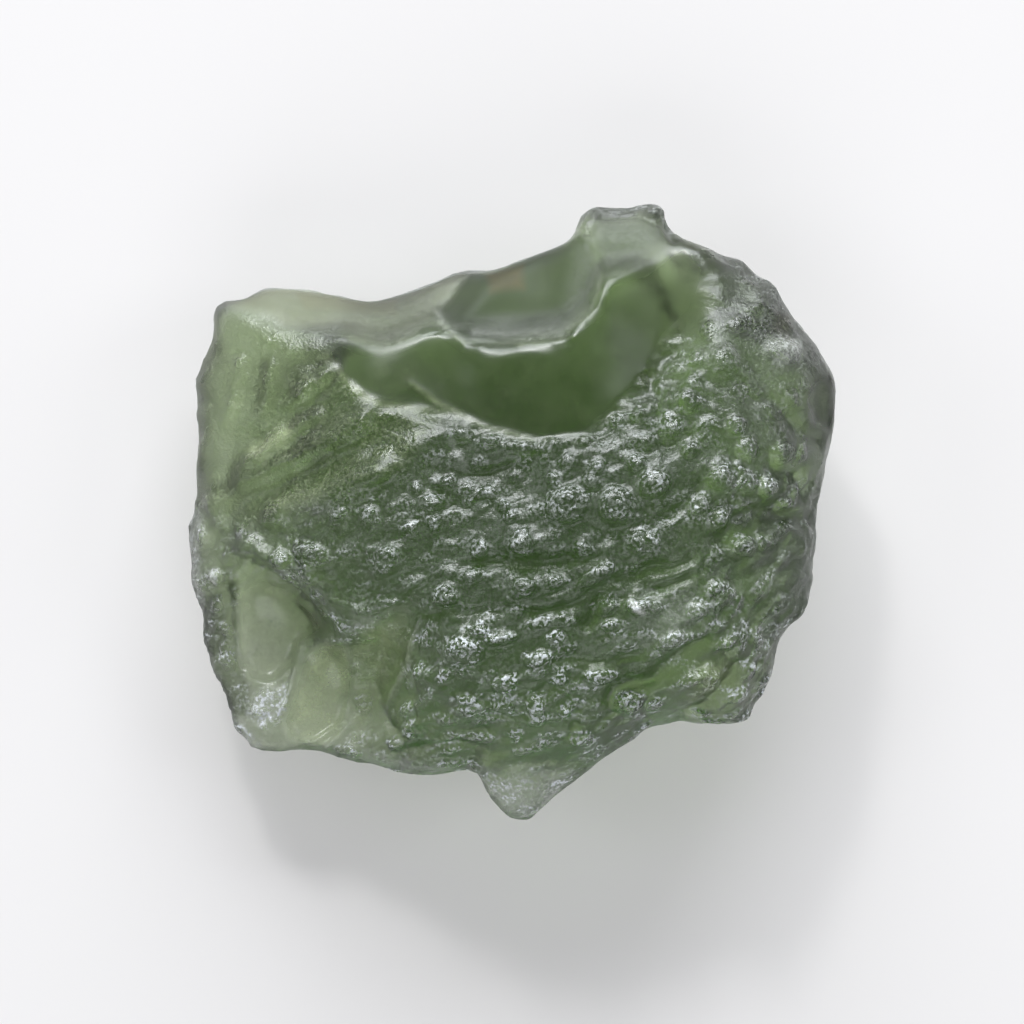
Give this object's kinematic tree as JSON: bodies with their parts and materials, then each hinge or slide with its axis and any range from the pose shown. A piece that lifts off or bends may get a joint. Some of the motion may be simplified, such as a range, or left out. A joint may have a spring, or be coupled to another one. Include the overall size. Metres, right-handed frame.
{
  "type": "moldavite",
  "caption": "Raw piece of green natural glass with a pitted skin and smooth shell-shaped breaks, lying on its back on a small flat spot.",
  "frame": {"origin": "on the ground under the middle of the stone's box, at the level of the flat spot it rests on", "axes": "+Z out of the pictured face, +X to that face's right along the longest side, +Y to the picture's top"},
  "size_m": [0.018, 0.0172, 0.0072],
  "materials": {
    "moldavite_glass": "olive to bottle green clear glass, frosty and glinting on the pitted skin, glossy in the hollows and on the breaks"
  },
  "bodies": {
    "root": {"moldavite": "moldavite_glass"}
  },
  "joints": []
}
